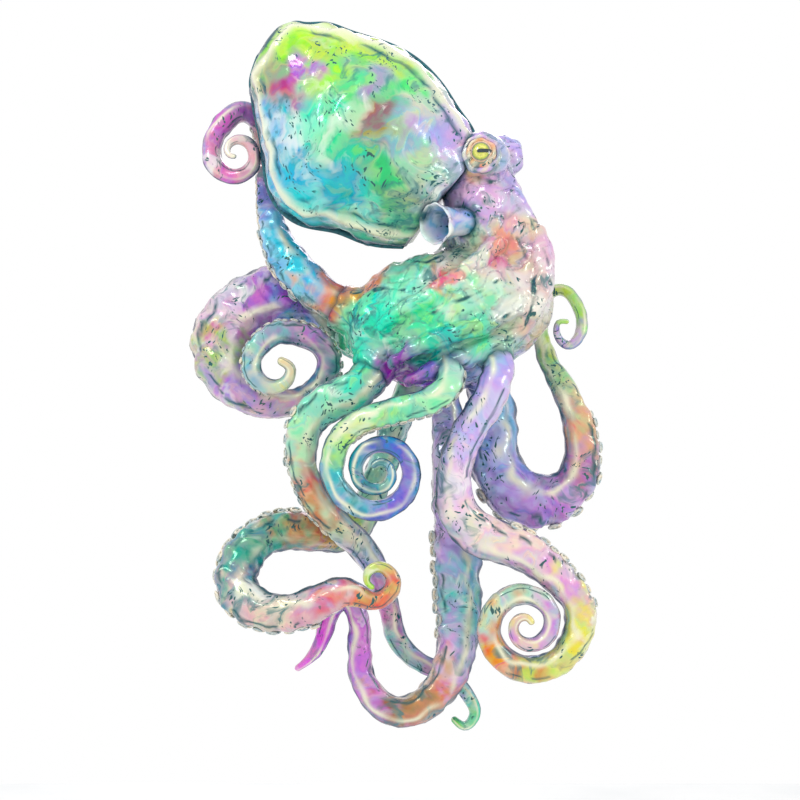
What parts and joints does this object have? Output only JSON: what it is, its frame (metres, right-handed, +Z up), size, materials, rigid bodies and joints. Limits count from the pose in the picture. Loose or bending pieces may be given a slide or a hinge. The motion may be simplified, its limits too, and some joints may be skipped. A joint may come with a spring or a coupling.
{
  "type": "inflatable octopus kite",
  "caption": "Air-filled octopus show kite of iridescent film with curling hinged arms, an inner spar frame and a tow eye behind its crown.",
  "frame": {"origin": "centre of the tow eye's bore behind the crown", "axes": "+Z up, +Y from the viewer through the kite, +X to the right as seen from the front"},
  "size_m": [0.8469, 0.3614, 1.4383],
  "materials": {
    "arm_1_film": "gloss",
    "arm_2_film": "gloss",
    "arm_3_film": "gloss",
    "arm_4_film": "gloss",
    "arm_5_film": "gloss",
    "arm_6_film": "gloss",
    "arm_7_film": "gloss",
    "arm_8_film": "gloss",
    "cap": "satin",
    "crown_film": "gloss",
    "eye": "gloss",
    "eyelid": "satin",
    "head_film": "gloss",
    "hub": "satin",
    "mantle_film": "gloss",
    "metal": "satin",
    "pupil": "gloss",
    "rim_film": "gloss",
    "siphon_film": "gloss",
    "spar": "satin",
    "sucker_film": "gloss",
    "valve": "satin"
  },
  "bodies": {
    "body": {"anchor_plates": "hub", "arm_lugs": "hub", "crown_back_panel": "crown_film", "crown_front_panel": "crown_film", "crown_hub": "hub", "far_eye": "eye", "far_eye_mound": "head_film", "far_eyelid": "eyelid", "far_pupil": "pupil", "head_back_panel": "head_film", "head_front_panel": "head_film", "hinge_pins": "metal", "inflation_valve": "valve", "lug_screws": "metal", "mantle_back_panel": "mantle_film", "mantle_front_panel": "mantle_film", "mantle_hoop": "spar", "mantle_rim": "rim_film", "mantle_spar": "spar", "near_eye": "eye", "near_eye_mound": "head_film", "near_eyelid": "eyelid", "near_pupil": "pupil", "neck_spar": "spar", "siphon": "siphon_film", "spar_elbow": "hub", "spar_end_cap": "cap", "tow_bolts": "metal", "tow_plate": "metal"},
    "arm_1": {"arm_1_skin": "arm_1_film", "arm_1_collar": "hub", "arm_1_suckers": "sucker_film"},
    "arm_2": {"arm_2_skin": "arm_2_film", "arm_2_collar": "hub", "arm_2_suckers": "sucker_film"},
    "arm_3": {"arm_3_skin": "arm_3_film", "arm_3_collar": "hub", "arm_3_suckers": "sucker_film"},
    "arm_4": {"arm_4_skin": "arm_4_film", "arm_4_collar": "hub", "arm_4_suckers": "sucker_film"},
    "arm_5": {"arm_5_skin": "arm_5_film", "arm_5_collar": "hub", "arm_5_suckers": "sucker_film"},
    "arm_6": {"arm_6_skin": "arm_6_film", "arm_6_collar": "hub", "arm_6_suckers": "sucker_film"},
    "arm_7": {"arm_7_skin": "arm_7_film", "arm_7_collar": "hub", "arm_7_suckers": "sucker_film"},
    "arm_8": {"arm_8_skin": "arm_8_film", "arm_8_collar": "hub", "arm_8_suckers": "sucker_film"}
  },
  "joints": [
    {"name": "arm_1_hinge", "type": "hinge", "parent": "body", "child": "arm_1", "pos_m": [-0.21788, -0.159, 0.0218], "axis": [0, -1, 0], "range_deg": [0, 2.5]},
    {"name": "arm_2_hinge", "type": "hinge", "parent": "body", "child": "arm_2", "pos_m": [-0.19323, -0.07741, -0.02636], "axis": [0.0193, -0.0188, -0.9996], "range_deg": [0, 8]},
    {"name": "arm_3_hinge", "type": "hinge", "parent": "body", "child": "arm_3", "pos_m": [-0.15423, -0.21613, -0.1162], "axis": [-0.2319, 0.8879, -0.3972], "range_deg": [0, 6]},
    {"name": "arm_4_hinge", "type": "hinge", "parent": "body", "child": "arm_4", "pos_m": [0.00166, -0.27081, -0.10257], "axis": [-0.9963, -0.0637, -0.0571], "range_deg": [0, 12]},
    {"name": "arm_5_hinge", "type": "hinge", "parent": "body", "child": "arm_5", "pos_m": [0.07386, -0.09649, -0.12135], "axis": [-0.9489, 0.1393, -0.2832], "range_deg": [0, 5]},
    {"name": "arm_6_hinge", "type": "hinge", "parent": "body", "child": "arm_6", "pos_m": [0.09066, -0.2554, -0.09019], "axis": [-0.9382, -0.2419, -0.2475], "range_deg": [0, 10]},
    {"name": "arm_7_hinge", "type": "hinge", "parent": "body", "child": "arm_7", "pos_m": [-0.00813, -0.12805, -0.15058], "axis": [-0.0201, 0.9784, 0.2057], "range_deg": [0, 5]},
    {"name": "arm_8_hinge", "type": "hinge", "parent": "body", "child": "arm_8", "pos_m": [-0.06418, -0.05123, -0.10609], "axis": [0.1219, 0.6696, 0.7327], "range_deg": [0, 5]}
  ]
}
